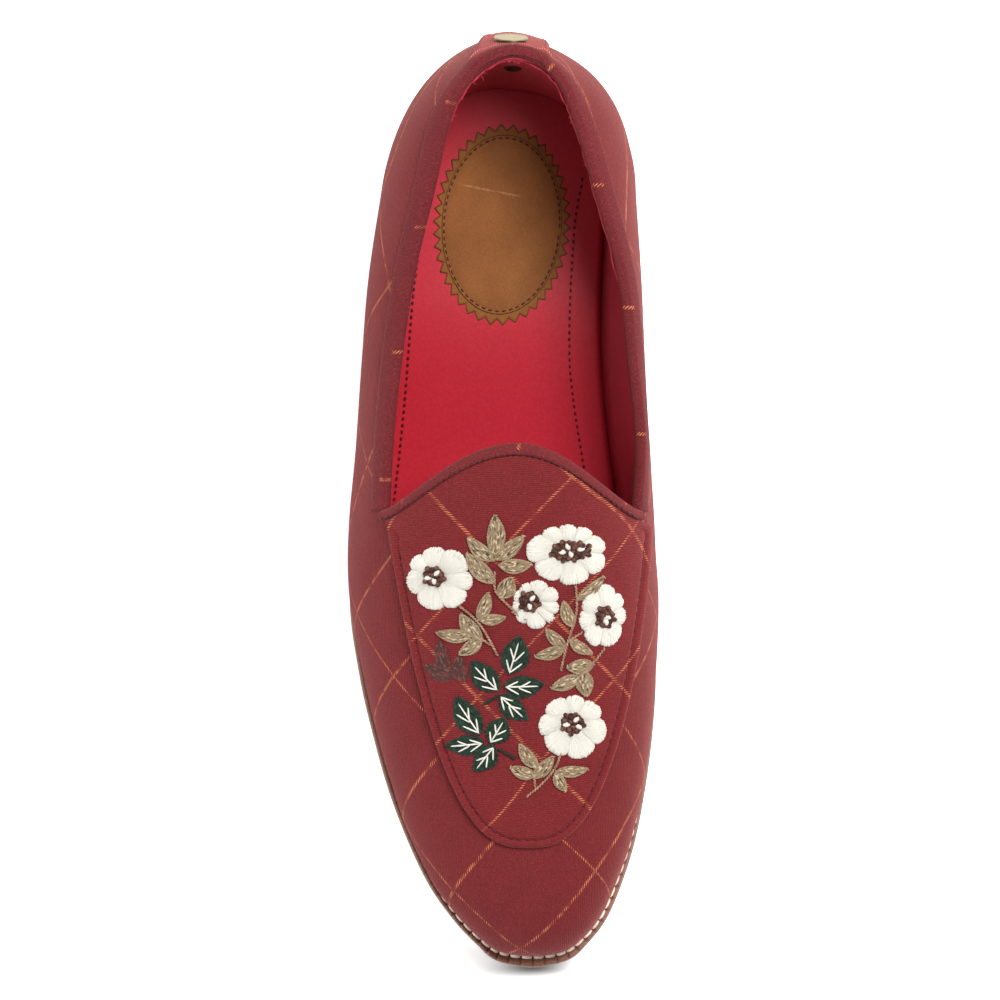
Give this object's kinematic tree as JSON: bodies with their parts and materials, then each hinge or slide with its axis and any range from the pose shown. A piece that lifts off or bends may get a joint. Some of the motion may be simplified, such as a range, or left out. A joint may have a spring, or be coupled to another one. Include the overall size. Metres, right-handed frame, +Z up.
{
  "type": "slip-on shoe",
  "caption": "Flat slip-on shoe for the right foot: cloth upper with a rounded apron and throat, stitched welt, thin sole, low stacked heel and a heel pad inside.",
  "frame": {"origin": "on the floor under the middle of the shoe's box, standing on forefoot and heel", "axes": "+Z up, +Y from the toe towards the heel, +X towards the medial (big toe) side"},
  "size_m": [0.0982, 0.2942, 0.0865],
  "materials": {
    "cloth": "brushed twill cloth, maroon with a thin orange check",
    "stud_metal": "satin, pale gold",
    "lining": "smooth crimson lining",
    "suede": "tan suede, pinked edge",
    "welt_leather": "brown, nicked, with cream stitches",
    "sole_leather": "brown, satin edge",
    "top_lift_rubber": "dark, matt"
  },
  "bodies": {
    "root": {"upper": "cloth", "apron": "cloth", "heel_tab": "cloth", "stud": "stud_metal", "insole": "lining", "heel_pad": "suede", "welt": "welt_leather", "outsole": "sole_leather", "heel_stack": "sole_leather", "top_lift": "top_lift_rubber"}
  },
  "joints": []
}
